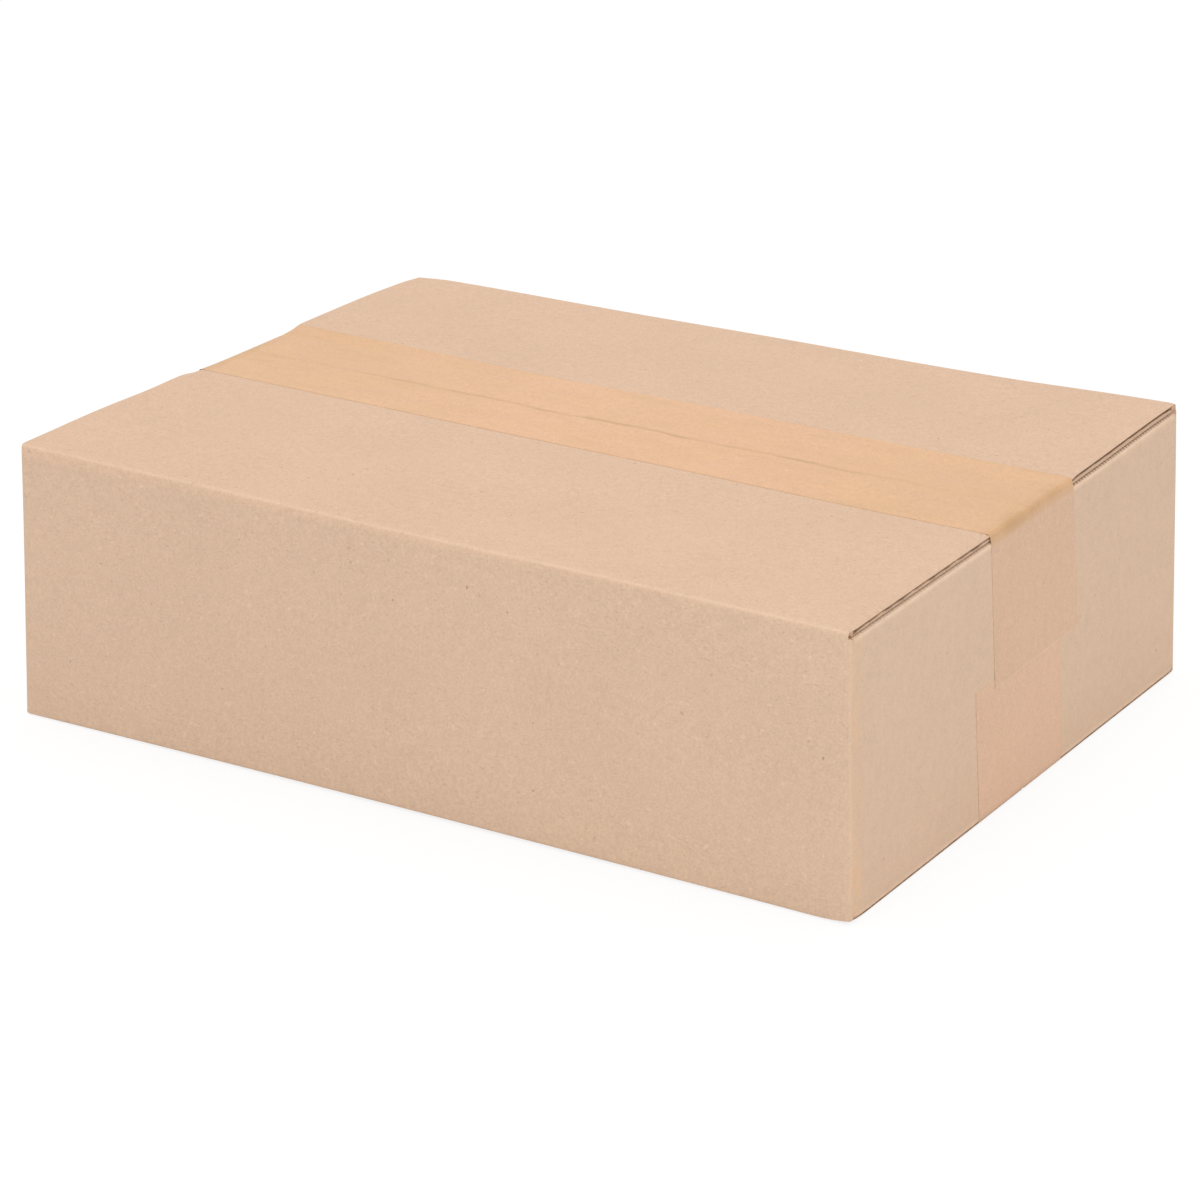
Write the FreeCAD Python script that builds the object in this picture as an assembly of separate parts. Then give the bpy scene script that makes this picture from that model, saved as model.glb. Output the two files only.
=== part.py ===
import FreeCAD, Part
import math
import os

V = FreeCAD.Vector

# Outside of the closed carton over the board, in mm
length = 250.0
width = 190.0
height = 76.0

# Corrugated board: whole thickness and the paper liner on each side of the flutes
board = 1.7
liner = 0.4
flute_opening = 1.0

# Folds and the small clearances between folded panels
crease_radius = 2.0
flap_gap = 0.3
flap_end_inset = 0.8
slot_depth = 1.0
minor_side_gap = 1.0
minor_flap = 94.0
seam_gap = 1.0

# Where the two long flaps meet, as a distance behind the middle at the near and far ends
top_seam_near = 2.8
top_seam_far = 5.8
bottom_seam_near = 0.0
bottom_seam_far = 0.0

# Glued tab inside the rear left corner
tab_length = 28.0
tab_root_height = 66.0
tab_tip_height = 50.0
tab_stub = 2.5

# Tape film, and the saw-tooth cut left by the dispenser
tape_width = 48.0
film = 0.08
tooth_pitch = 1.2
tooth_depth = 0.35
tape_trim = 2.0

# Tape legs down an end panel: offset at the fold, offset at the cut end,
# height of the cut end at its front side and at its rear side
top_near_leg = (4.0, 6.5, 33.8, 35.1)
top_far_leg = (7.5, 8.0, 38.0, 38.0)
bottom_near_leg = (-2.3, -4.3, 36.8, 35.6)
bottom_far_leg = (-1.5, -1.5, 32.5, 32.5)

# Lap of the top tape over the end of the bottom tape
lap_start = 38.2
lap_seated = 37.4

half_length = length / 2
half_width = width / 2
flap_end = half_length - flap_end_inset
minor_level = height - board - flap_gap
minor_half = half_width - board - minor_side_gap
fold_start = minor_level - crease_radius
wall_top = minor_level - slot_depth


def rounded_face(corners, radii):
    """Flat face through the corners, each rounded by its own radius."""
    ends = []
    edges = []
    count = len(corners)
    for i, corner in enumerate(corners):
        to_last = (corners[i - 1] - corner).normalize()
        to_next = (corners[(i + 1) % count] - corner).normalize()
        half_angle = to_last.getAngle(to_next) / 2
        reach = radii[i] / math.tan(half_angle)
        start = corner + to_last * reach
        finish = corner + to_next * reach
        if radii[i] > 0:
            bisector = (to_last + to_next).normalize()
            middle = corner + bisector * (radii[i] / math.sin(half_angle) - radii[i])
            edges.append(Part.Arc(start, middle, finish).toShape())
        ends.append((start, finish))
    for i in range(count):
        start = ends[i - 1][1]
        finish = ends[i][0]
        if start.distanceToPoint(finish) > 1e-6:
            edges.append(Part.makeLine(start, finish))
    return Part.Face(Part.Wire(Part.__sortEdges__(edges)))


def flat_face(corners):
    """Flat face with sharp corners."""
    return Part.Face(Part.makePolygon(corners + corners[:1]))


def block(x0, x1, y0, y1, z0, z1):
    """Rectangular block between two limits on each axis."""
    return Part.makeBox(x1 - x0, y1 - y0, z1 - z0, V(x0, y0, z0))


def wall_ring():
    """Four walls in one ring; the rear panel's cut edge stands at the rear left corner."""
    joint = -half_length + flap_end_inset
    outer = rounded_face([
        V(-half_length, -half_width, 0),
        V(half_length, -half_width, 0),
        V(half_length, half_width, 0),
        V(joint, half_width, 0),
        V(joint, half_width - board, 0),
        V(-half_length, half_width - board, 0)],
        [crease_radius, crease_radius, crease_radius, 0, 0, flap_end_inset])
    inner_x = half_length - board
    inner_y = half_width - board
    stub = -half_length + tab_stub
    inner = flat_face([
        V(-inner_x, -inner_y, 0),
        V(inner_x, -inner_y, 0),
        V(inner_x, inner_y, 0),
        V(stub, inner_y, 0),
        V(stub, inner_y - board, 0),
        V(-inner_x, inner_y - board, 0)])
    section = outer.cut(inner).Faces[0]
    section.translate(V(0, 0, height - wall_top))
    ring = section.extrude(V(0, 0, 2 * wall_top - height))
    for z0, z1 in ((0, height - fold_start), (fold_start, height)):
        ring = ring.cut(block(-length, length, -minor_half, minor_half, z0, z1))
    return ring


def glue_tab():
    """Tab turned in from the left end panel and glued to the inside of the rear panel."""
    y = half_width - 2 * board
    middle = height / 2
    root = -half_length + board
    tip = -half_length + tab_length
    face = flat_face([
        V(root, y, middle - tab_root_height / 2),
        V(tip, y, middle - tab_tip_height / 2),
        V(tip, y, middle + tab_tip_height / 2),
        V(root, y, middle + tab_root_height / 2)])
    return face.extrude(V(0, board, 0))


def minor_flap_pair():
    """Short flaps folded in from both end panels, lying under the long flaps."""
    under = minor_level - board
    inner_x = half_length - board
    free = half_length - minor_flap
    face = rounded_face([
        V(inner_x, -minor_half, fold_start),
        V(half_length, -minor_half, fold_start),
        V(half_length, -minor_half, minor_level),
        V(free, -minor_half, minor_level),
        V(free, -minor_half, under),
        V(inner_x, -minor_half, under)],
        [0, 0, crease_radius, 0, 0, 0])
    near = face.extrude(V(0, 2 * minor_half, 0))
    far = near.mirror(V(0, 0, 0), V(1, 0, 0))
    return [near, far]


def major_flap_pair(seam_near, seam_far):
    """Long flaps folded over from the front and rear panels, with open flutes at their ends."""
    under = height - board
    inner_y = half_width - board
    face = rounded_face([
        V(-flap_end, -inner_y, wall_top),
        V(-flap_end, -half_width, wall_top),
        V(-flap_end, -half_width, height),
        V(-flap_end, half_width, height),
        V(-flap_end, half_width, wall_top),
        V(-flap_end, inner_y, wall_top),
        V(-flap_end, inner_y, under),
        V(-flap_end, -inner_y, under)],
        [0, 0, crease_radius, crease_radius, 0, 0, 0, 0])
    flaps = face.extrude(V(2 * flap_end, 0, 0))
    seam = flat_face([
        V(-half_length, seam_far - seam_gap / 2, under),
        V(half_length, seam_near - seam_gap / 2, under),
        V(half_length, seam_near + seam_gap / 2, under),
        V(-half_length, seam_far + seam_gap / 2, under)])
    flaps = flaps.cut(seam.extrude(V(0, 0, board)))
    flute_y = half_width - crease_radius
    for x0 in (-flap_end, flap_end - flute_opening):
        groove = block(x0, x0 + flute_opening, -flute_y, flute_y, under + liner, height - liner)
        flaps = flaps.cut(groove)
    return flaps


def closure(seam_near, seam_far):
    """The four folded flaps of one opening, at the top of the carton."""
    return minor_flap_pair() + [major_flap_pair(seam_near, seam_far)]


def carton():
    """Folded blank as one piece, standing one film thickness above the floor."""
    middle = V(0, 0, height / 2)
    pieces = closure(top_seam_near, top_seam_far)
    for piece in closure(bottom_seam_near, bottom_seam_far):
        pieces.append(piece.mirror(middle, V(0, 0, 1)))
    pieces.append(glue_tab())
    body = wall_ring().fuse(pieces).removeSplitter()
    body.translate(V(0, 0, film))
    return body


def tape_band(cut_height, lapped):
    """Thin band bent over both ends of the flaps and down the end panels."""
    centre_x = half_length - crease_radius
    rise = height - fold_start
    run = flap_end - centre_x
    reach = math.hypot(run, rise)
    angle = math.atan2(rise, run) - math.acos(crease_radius / reach)
    touch_x = centre_x + crease_radius * math.cos(angle)
    touch_z = fold_start + crease_radius * math.sin(angle)
    mid_x = centre_x + crease_radius * math.cos(angle / 2)
    mid_z = fold_start + crease_radius * math.sin(angle / 2)
    edges = [Part.makeLine(V(-flap_end, 0, height), V(flap_end, 0, height))]
    for side in (-1, 1):
        corner = V(side * flap_end, 0, height)
        touch = V(side * touch_x, 0, touch_z)
        seat = V(side * half_length, 0, fold_start)
        edges.append(Part.makeLine(corner, touch))
        edges.append(Part.Arc(touch, V(side * mid_x, 0, mid_z), seat).toShape())
        points = [seat]
        if lapped and side > 0:
            points.append(V(half_length, 0, lap_start))
            points.append(V(half_length + film, 0, lap_seated))
        points.append(V(points[-1].x, 0, cut_height))
        for a, b in zip(points, points[1:]):
            edges.append(Part.makeLine(a, b))
    path = Part.Wire(Part.__sortEdges__(edges))
    return path.makeOffset2D(film, 0, True, True, False)


def leg_outline(leg, x):
    """Outline of one tape leg on an end panel, with its saw-tooth cut end."""
    fold_y, cut_y, front_z, rear_z = leg
    half = tape_width / 2
    teeth = round(tape_width / tooth_pitch)
    points = [
        V(x, fold_y + half, height + tape_trim),
        V(x, fold_y - half, height + tape_trim),
        V(x, fold_y - half, fold_start)]
    for i in range(teeth + 1):
        share = i / teeth
        y = cut_y - half + tape_width * share
        z = front_z + (rear_z - front_z) * share
        points.append(V(x, y, z))
        if i < teeth:
            points.append(V(x, y + tooth_pitch / 2, z - tooth_depth))
    points.append(V(x, fold_y + half, fold_start))
    return flat_face(points)


def tape(near_leg, far_leg, lapped):
    """One strip of tape along the top seam and down both end panels."""
    half = tape_width / 2
    lowest = min(near_leg[2:] + far_leg[2:]) - tape_trim
    band = tape_band(lowest, lapped)
    band.translate(V(0, -half_width, 0))
    strip = band.extrude(V(0, width, 0))
    plan = flat_face([
        V(-flap_end, far_leg[0] - half, fold_start),
        V(flap_end, near_leg[0] - half, fold_start),
        V(flap_end, near_leg[0] + half, fold_start),
        V(-flap_end, far_leg[0] + half, fold_start)])
    top = plan.extrude(V(0, 0, height + tape_trim - fold_start))
    near = leg_outline(near_leg, flap_end).extrude(V(tape_trim, 0, 0))
    far = leg_outline(far_leg, -flap_end).extrude(V(-tape_trim, 0, 0))
    parts = [strip.common(piece) for piece in (top, near, far)]
    return parts[0].fuse(parts[1:]).removeSplitter()


def top_tape():
    """Tape over the top seam, lapped over the bottom tape on the near end panel."""
    shape = tape(top_near_leg, top_far_leg, True)
    shape.translate(V(0, 0, film))
    return shape


def bottom_tape():
    """Tape under the bottom seam; its legs are given by their heights above the floor."""
    legs = []
    for fold_y, cut_y, front_z, rear_z in (bottom_near_leg, bottom_far_leg):
        legs.append((fold_y, cut_y, height - front_z, height - rear_z))
    shape = tape(legs[0], legs[1], False).mirror(V(0, 0, height / 2), V(0, 0, 1))
    shape.translate(V(0, 0, film))
    return shape


os.makedirs("parts", exist_ok=True)
carton().exportStep("parts/carton.step")
top_tape().exportStep("parts/top_tape.step")
bottom_tape().exportStep("parts/bottom_tape.step")
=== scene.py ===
"""Closed slotted carton of kraft board, taped along both seams, on a plain white stage."""
import math

import bmesh
import bpy
import numpy as np
from bpy.props import FloatProperty, FloatVectorProperty, IntProperty, PointerProperty
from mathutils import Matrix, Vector


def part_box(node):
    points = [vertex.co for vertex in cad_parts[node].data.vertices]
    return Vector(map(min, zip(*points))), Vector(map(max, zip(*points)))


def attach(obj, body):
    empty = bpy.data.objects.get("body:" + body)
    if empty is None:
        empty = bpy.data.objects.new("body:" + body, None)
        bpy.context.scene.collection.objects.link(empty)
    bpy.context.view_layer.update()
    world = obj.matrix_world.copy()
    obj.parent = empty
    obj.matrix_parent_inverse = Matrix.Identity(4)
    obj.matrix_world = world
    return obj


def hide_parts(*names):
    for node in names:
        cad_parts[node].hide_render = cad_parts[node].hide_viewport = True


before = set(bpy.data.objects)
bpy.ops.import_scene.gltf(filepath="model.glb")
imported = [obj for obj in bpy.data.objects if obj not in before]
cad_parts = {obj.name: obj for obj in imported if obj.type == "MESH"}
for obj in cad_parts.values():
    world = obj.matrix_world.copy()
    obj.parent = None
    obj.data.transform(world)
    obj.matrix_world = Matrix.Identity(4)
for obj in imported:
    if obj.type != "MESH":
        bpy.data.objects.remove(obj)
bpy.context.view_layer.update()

bl_info = {
    "name": "Taped Carton",
    "version": (1, 0, 0),
    "blender": (4, 5, 0),
    "location": "3D View > Sidebar > Carton",
    "description": "Builds a closed slotted carton with film tape on both seams",
    "category": "Add Mesh",
}

CARTON_LOW, CARTON_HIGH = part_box("carton")
CARTON_SIZE = [high - low for low, high in zip(CARTON_LOW, CARTON_HIGH)]

# Kinds of column round the walls; the last two carry on as flaps
TAB, SLOT, MINOR, MAJOR = range(4)

# Slopes of the worn shape: the places in metres where each begins and is complete
NEAR_LIFT_X, NEAR_LIFT_Y = (0.070, 0.125), (0.030, 0.090)
FAR_LIFT_X, FAR_LIFT_Y, FAR_LIFT_FADE = (0.030, 0.118), (0.022, 0.034), (0.060, 0.094)
LEFT_ARCH_X = (0.060, 0.125)
PRESSED_X, PRESSED_BELOW, PRESSED_ABOVE = (0.100, 0.120), (0.0, 0.0024), (0.004, 0.030)
TAPE_FRONT_EDGE, TAPE_REAR_EDGE = (-0.024, -0.0185), (0.0275, 0.0315)

# Humps of the arched flap, as share, place and width; reach of the drooping and the blunted
# corner; how far the walls bow and wander, and how far the faces ripple
HUMPS = ((0.6, -0.060, 0.024), (0.5, -0.026, 0.011))
DROOP_REACH, BLUNT_REACH, BOW, RIPPLE = 0.0065, 0.0045, 0.00022, 0.00008

# Legs at the near and far end: place at the fold and at the cut, height and slant of the cut
TOP_LEGS = (0.004, 0.0065, 0.03445, 0.0013), (0.0075, 0.008, 0.038, 0.0)
BOTTOM_LEGS = (-0.0023, -0.0043, 0.0398, 0.0012), (-0.0015, -0.0015, 0.0435, 0.0)

# Heights between which the walls' painted-shade tint gives way to the flaps', and pitch of the
# folds' shaded ticks
FLAPS_BEGIN = (0.0725, 0.0745)
FOLD_TICK = 0.0016


def distance(name, description, default):
    """A length in metres that a user may change."""
    return FloatProperty(name=name, description=description, default=default, unit="LENGTH",
                         precision=5)


def colour(name, description, default):
    """A linear red, green and blue that a user may change."""
    return FloatVectorProperty(name=name, description=description, default=(*default, 1.0),
                               size=4, subtype="COLOR", min=0.0, max=1.0)


class CartonForm(bpy.types.PropertyGroup):
    """Sizes of the folded board."""
    length: distance("Length", "Outside, over the end panels", CARTON_SIZE[0])
    width: distance("Width", "Outside, over the long panels", CARTON_SIZE[1])
    height: distance("Height", "Outside, over the long flaps", CARTON_SIZE[2])
    base: distance("Base", "Underside over the floor", CARTON_LOW[2])
    board: distance("Board", "Thickness of the whole board", 0.0017)
    liner: distance("Liner", "Thickness of one paper liner", 0.00026)
    crease: distance("Crease radius", "Outer radius of every fold", 0.0019)
    flap_gap: distance("Flap gap", "Air between the short and the long flaps", 0.0003)
    end_inset: distance("Flap end inset", "Long flaps' cut ends behind the end panels", 0.0006)
    side_gap: distance("Side gap", "Short flaps' sides behind the long panels", 0.0004)
    minor_flap: distance("Short flap", "Length of the short flaps", 0.094)
    seam_gap: distance("Seam gap", "Space between the two long flaps", 0.001)
    seam_near: distance("Top seam, near end", "How far it lies behind the middle", 0.0028)
    seam_far: distance("Top seam, far end", "How far it lies behind the middle", 0.0058)
    tab_length: distance("Tab length", "Glued tab inside the rear left corner", 0.028)
    tab_root: distance("Tab root", "Height of the tab at its fold", 0.066)
    tab_tip: distance("Tab tip", "Height of the tab at its free edge", 0.050)
    flute_depth: distance("Flute depth", "Depth of the open flute at a cut end", 0.0013)
    flute_rear: distance("Rear flute", "Opening of the rear top flap's flute", 0.00062)
    flute_front: distance("Front flute", "Opening of the front top flap's flute", 0.00066)
    flute_low: distance("Lower flute", "Opening of the other flutes", 0.00028)
    flare: FloatProperty(name="Flare", description="Share the walls stand out by at the base",
                         default=0.008)
    near_lean: distance("Near lean", "Foot of the near end panel further out", 0.0008)
    front_sag: distance("Front corner sag", "Drop of the near front top corner", 0.0019)
    left_rise: distance("Left corner rise", "Rise of the far front top corner", 0.0007)
    rear_rise: distance("Rear corner rise", "Rise of the near rear top corner", 0.0012)
    near_lift: distance("Near lift", "Spring-back of the rear flap there", 0.00085)
    far_lift: distance("Far lift", "Spring-back of the rear flap there", 0.0008)
    far_rise: distance("Far corner rise", "Rise of the far rear top corner", 0.0004)
    left_arch: distance("Left arch", "Arch of the front flap at the far end", 0.0010)
    base_arch: distance("Base arch", "Rise of the front panel's foot", 0.0005)
    corner_drop: distance("Corner drop", "Rounding of the far rear top corner", 0.0006)
    corner_crush: distance("Corner crush", "Blunting of the near front bottom corner", 0.0006)
    end_crush: distance("End crush", "Top flaps' ends pressed down by the tape", 0.00055)
    front_crush: distance("Front crush", "Front top flap's cut end pressed thin", 0.00045)
    base_crush: distance("Base crush", "Board pressed flat at the ends' foot", 0.0015)
    column_step: distance("Column step", "Grid spacing round the walls", 0.0032)
    flap_rows: IntProperty(name="Flap rows", description="Grid rows across one flap", default=40)
    wall_rows: IntProperty(name="Wall rows", description="Grid rows up a wall", default=28)
    fold_rows: IntProperty(name="Fold rows", description="Grid rows round one fold", default=8)


class CartonTape(bpy.types.PropertyGroup):
    """Sizes of the two strips of tape."""
    width: distance("Tape width", "Width of both strips", 0.048)
    film: distance("Film", "Thickness of the film", 0.00006)
    glue: distance("Adhesive", "Thickness of the adhesive under the film", 0.00002)
    tooth_pitch: distance("Tooth pitch", "Spacing of the teeth of a cut end", 0.0012)
    tooth_depth: distance("Tooth depth", "Depth of the teeth of a cut end", 0.00035)
    bend: distance("Bend radius", "Radius of the film over the flaps' cut ends", 0.0012)
    lap_start: distance("Lap start", "Height where the top tape steps out", 0.0383)
    lap_seated: distance("Lap seated", "Height where the step is complete", 0.0376)
    row_step: distance("Row step", "Grid spacing along the tape", 0.003)


class CartonFinish(bpy.types.PropertyGroup):
    """Colours of board and tape."""
    kraft: colour("Kraft", "Liner of the flaps", (0.700, 0.487, 0.346))
    # Same liner as the flaps, set a little darker and greyer: a painted shade on the upright walls
    kraft_side_painted_shade: colour("Side kraft", "Liner of the walls", (0.664, 0.475, 0.341))
    # Paler stretched liner on the folds, and a painted highlight there
    kraft_pale_and_highlight: colour("Pale kraft", "Stretched liner on the folds", (0.88, 0.650, 0.470))
    # Also the painted shade of the ticks in the crevice under the long flaps
    kraft_speck_and_shade: colour("Speck", "Dark fibres and specks in the liner", (0.31, 0.205, 0.135))
    # Scuff low on the near front corner, and a painted highlight along the whole corner
    kraft_scuff_and_highlight: colour("Scuff", "Rubbed strip of the near corner", (0.81, 0.508, 0.300))
    raw_edge: colour("Raw edge", "Cut edge of the board", (0.60, 0.405, 0.270))
    # Dark brown painted into an open flute's depth: painted shade inside the channel
    flute: colour("Flute", "Depth of an open flute", (0.30, 0.172, 0.098))
    film: colour("Tape", "Tan film over kraft board", (0.745, 0.438, 0.253))
    film_patch: colour("Yellow tape", "Yellower patches of the film", (0.733, 0.442, 0.228))
    film_end: colour("Tape near the ends", "Film near the ends of the top", (0.705, 0.424, 0.236))
    # Same film as on the top, tinted apart on the end panels to suit the light there: painted
    # light
    film_leg_painted_light: colour("Top tape's legs", "Top film on the ends", (0.692, 0.447, 0.294))
    film_low_painted_light: colour("Bottom tape's legs", "Low film on the ends", (0.723, 0.460, 0.302))
    # Dark tone for the film's fibres, specks and streaks, and painted shade over the gap at the
    # fold and over the seam
    film_dark_and_gap_shade: colour("Deep tape", "Tape over a gap or seam", (0.520, 0.295, 0.125))
    film_edge: colour("Cut film", "Pale cut end of the film", (0.88, 0.660, 0.450))


def ease(low, high, value):
    """Smooth step: 0 below low, 1 above high, 3t^2 - 2t^3 between."""
    t = np.clip((value - low) / (high - low), 0.0, 1.0)
    return t * t * (3.0 - 2.0 * t)


def bell(value, width):
    """Bell: e to the minus square of value over width."""
    return np.exp(-(value / width) ** 2)


def seam_line(form, x, top):
    """How far the seam lies behind the middle: a straight line from end to end."""
    share = 0.5 + x / form.length
    return np.where(top, form.seam_far + (form.seam_near - form.seam_far) * share, 0.0)


def settle(form, points):
    """Shape of a handled carton: the walls stand out towards the base, each point rises by its
    share of the height times the blend of the corners' rises, the top flaps spring up and arch,
    a corner droops, one is blunted, the ends are pressed flat low down and the faces wander."""
    x, y, z = points[..., 0], points[..., 1], points[..., 2]
    near = np.clip(0.5 + x / form.length, 0.0, 1.0)
    rear = np.clip(0.5 + y / form.width, 0.0, 1.0)
    share = z / form.height
    rise = (near * (rear * form.rear_rise - (1.0 - rear) * form.front_sag)
            + (1.0 - near) * ((1.0 - rear) * form.left_rise + rear * form.far_rise))
    humps = sum(part * bell(y - place, width) for part, place, width in HUMPS)
    lift = (form.near_lift * ease(*NEAR_LIFT_X, x) * ease(*NEAR_LIFT_Y, y)
            + form.far_lift * ease(*FAR_LIFT_X, -x) * ease(*FAR_LIFT_Y, y)
            * (1.0 - 0.7 * ease(*FAR_LIFT_FADE, y))
            + form.left_arch * ease(*LEFT_ARCH_X, -x) * humps)
    from_rear_top = np.hypot(x + form.length / 2, y - form.width / 2)
    droop = form.corner_drop * bell(from_rear_top, DROOP_REACH)
    pressed = (form.base_crush * ease(*PRESSED_BELOW, z) * (1.0 - ease(*PRESSED_ABOVE, z))
               * ease(*PRESSED_X, np.abs(x)))
    bow = BOW * np.sin(math.pi * np.clip(share, 0.0, 1.0))
    side = np.where(np.abs(y) / form.width > np.abs(x) / form.length, 1.0, 0.0)
    sway = np.sin(21.0 * x + 1.3) + 0.6 * np.sin(47.0 * x + 33.0 * z)
    turn = np.sin(25.0 * y + 0.4) + 0.5 * np.sin(52.0 * y - 28.0 * z)
    ripple = RIPPLE * (np.sin(61.0 * x + 17.0 * y) + np.sin(43.0 * y - 29.0 * x + 2.0))
    from_near_foot = np.sqrt((x - form.length / 2) ** 2 + (y + form.width / 2) ** 2 + z ** 2)
    blunt = bell(from_near_foot, BLUNT_REACH)
    out = points.copy()
    out[..., :2] *= (1.0 + form.flare * (1.0 - 2.0 * share))[..., None]
    out[..., 0] += (1.0 - side) * np.sign(x) * bow * turn - 0.25 * form.corner_crush * blunt
    out[..., 0] += form.near_lean * (1.0 - share) * ease(0.5, 1.0, near)
    out[..., 1] += side * np.sign(y) * bow * sway + 0.25 * form.corner_crush * blunt
    foot = form.base_arch * (1.0 - (2.0 * x / form.length) ** 2) * ease(0.06, 0.095, -y)
    out[..., 2] += (share * rise + ease(0.45, 1.0, share) * (lift - droop + ripple)
                    + (1.0 - share) * foot + form.corner_crush * blunt - pressed)
    return out


class Perimeter:
    """Columns round the walls, from the tab's free edge to the rear panel's cut edge."""

    def __init__(self, form):
        self.form = form
        self.rows = []

    def straight(self, kind, start, finish, normal, fold):
        """Evenly spaced columns along a flat panel."""
        start = np.array(start)
        finish = np.array(finish)
        count = max(1, round(np.linalg.norm(finish - start) / self.form.column_step))
        share = np.linspace(0.0, 1.0, count + 1)[:, None]
        place = start + (finish - start) * share
        self.add(kind, place, np.tile(normal, (count + 1, 1)), fold)

    def bend(self, kind, centre, radius, start, finish, fold, count=4):
        """Columns round a corner fold: centre plus radius times the direction of each angle."""
        angle = np.radians(np.linspace(start, finish, count + 1))
        normal = np.stack([np.cos(angle), np.sin(angle)], axis=1)
        self.add(kind, np.array(centre) + radius * normal, normal, fold)

    def add(self, kind, place, normal, fold):
        """Keep a run of columns."""
        block = np.column_stack([place, normal, np.tile(fold, (len(place), 1)),
                                 np.full(len(place), kind)])
        self.rows.append(block)

    def table(self):
        """All columns as one array: x, y, normal x, normal y, fold x, fold y, kind.

        Where two runs meet they share a column, which goes to the one with the flap."""
        whole = [self.rows[0]]
        for block in self.rows[1:]:
            gap = np.linalg.norm(block[0, :2] - whole[-1][-1, :2])
            if gap < 1e-9:
                if block[0, 6] > whole[-1][-1, 6]:
                    whole[-1][-1] = block[0]
                block = block[1:]
            whole.append(block)
        return np.vstack(whole)


def wall_columns(form):
    """Outer face of the walls as columns: four panels joined by folds, slots at each corner."""
    hx, hy, r = form.length / 2, form.width / 2, form.crease
    cx, cy = hx - r, hy - r
    tab_y = hy - form.board
    minor = hy - form.board - form.side_gap
    slot = math.degrees(math.acos((hx - form.end_inset - cx) / r))
    rear, left, front, right = (0.0, 1.0), (-1.0, 0.0), (0.0, -1.0), (1.0, 0.0)
    ring = Perimeter(form)
    ring.straight(TAB, (-hx + form.tab_length, tab_y), (-cx, tab_y), rear, front)
    ring.bend(SLOT, (-cx, tab_y - r), r, 90.0, 180.0, front)
    ring.straight(MINOR, (-hx, tab_y - r), (-hx, -minor), left, right)
    ring.straight(SLOT, (-hx, -minor), (-hx, -cy), left, right)
    ring.bend(SLOT, (-cx, -cy), r, 180.0, 180.0 + slot, right)
    ring.bend(MAJOR, (-cx, -cy), r, 180.0 + slot, 270.0, rear)
    ring.straight(MAJOR, (-cx, -hy), (cx, -hy), front, rear)
    ring.bend(MAJOR, (cx, -cy), r, 270.0, 360.0 - slot, rear)
    ring.bend(SLOT, (cx, -cy), r, 360.0 - slot, 360.0, left)
    ring.straight(SLOT, (hx, -cy), (hx, -minor), right, left)
    ring.straight(MINOR, (hx, -minor), (hx, minor), right, left)
    ring.straight(SLOT, (hx, minor), (hx, cy), right, left)
    ring.bend(SLOT, (cx, cy), r, 0.0, slot, left)
    ring.bend(MAJOR, (cx, cy), r, slot, 90.0, front)
    ring.straight(MAJOR, (cx, hy), (-hx + form.end_inset, hy), rear, front)
    return ring.table()


def crease_heights(form, kind):
    """Height at which each column's top fold begins. In a slot it climbs from the short flap's
    fold to the long flap's: one minus the fourth power of the share of the way still to go."""
    index = np.arange(len(kind))
    major_top = form.height - form.crease
    minor_top = major_top - form.board - form.flap_gap
    tab = kind == TAB
    tab_share = np.linspace(0.0, 1.0, tab.sum())
    tab_top = (form.height + form.tab_tip + (form.tab_root - form.tab_tip) * tab_share) / 2
    known = kind != SLOT
    value = np.where(kind == MAJOR, major_top, minor_top)
    value[tab] = tab_top
    sloped = np.interp(index, index[known], value[known])
    in_slot = ~known & (sloped >= minor_top)
    to_go = np.clip((major_top - sloped) / (major_top - minor_top), 0.0, 1.0)
    return np.where(in_slot, major_top - (major_top - minor_top) * to_go ** 4, sloped)


def fold_rows(form):
    """Rows from the bottom flaps' free edges to the top ones': side, angle, shares of wall and
    of flap."""
    flat = np.linspace(0.0, 1.0, form.flap_rows + 1)
    turn = np.linspace(0.0, math.pi / 2, form.fold_rows + 1)
    even = np.linspace(0.0, 1.0, form.wall_rows + 1)
    climb = 0.4 * even + 0.6 * (0.5 - 0.5 * np.cos(math.pi * even))
    parts = (
        (-1.0, np.full(form.flap_rows, math.pi / 2), 0.0, flat[:0:-1]),
        (-1.0, turn[:0:-1], 0.0, 0.0),
        (1.0, np.zeros(form.wall_rows + 1), climb, 0.0),
        (1.0, turn[1:], 1.0, 0.0),
        (1.0, np.full(form.flap_rows, math.pi / 2), 1.0, flat[1:]))
    blocks = []
    for side, angle, wall, flap in parts:
        size = len(angle)
        blocks.append(np.column_stack([np.full(size, side), angle,
                                       np.broadcast_to(wall, size), np.broadcast_to(flap, size)]))
    return np.vstack(blocks)


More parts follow.
